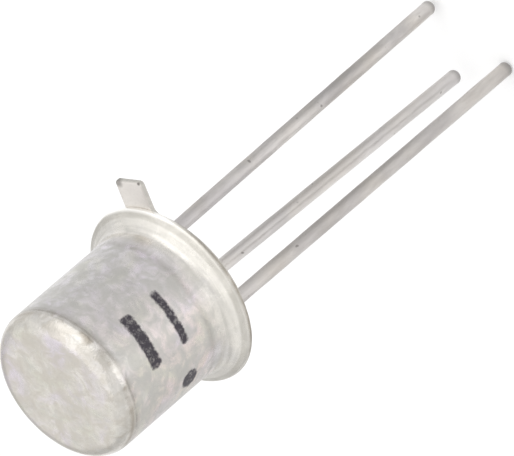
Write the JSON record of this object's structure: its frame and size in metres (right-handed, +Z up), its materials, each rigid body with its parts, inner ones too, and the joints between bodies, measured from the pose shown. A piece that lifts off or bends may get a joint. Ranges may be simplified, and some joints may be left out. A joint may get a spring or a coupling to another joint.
{
  "type": "pnp transistor, three-lead metal can, TO-18 outline",
  "caption": "Small PNP transistor: a drawn metal can with a flange and locating tab on a glass-sealed header, and straight round wire leads.",
  "frame": {"origin": "centre of the seating plane, which is the underside of the header's flange", "axes": "+Z up the can's axis to its flat end, with the leads along -Z; -X to the emitter lead, -Y to the base lead, +X to the collector lead"},
  "size_m": [0.0057, 0.0056, 0.0181],
  "materials": {
    "can_nickel": "satin, faintly mottled",
    "header_nickel": "satin",
    "seal_glass": "smooth, dark and opaque",
    "tinned_lead": "dull tin dip",
    "silicon": "polished silicon",
    "gold": "bright gold"
  },
  "bodies": {
    "root": {"can": "can_nickel", "header_eyelet": "header_nickel", "glass_seal": "seal_glass", "emitter_lead": "tinned_lead", "base_lead": "tinned_lead", "collector_lead": "tinned_lead", "silicon_die": "silicon", "die_attach": "gold", "emitter_bond_wire": "gold", "base_bond_wire": "gold"}
  },
  "joints": []
}
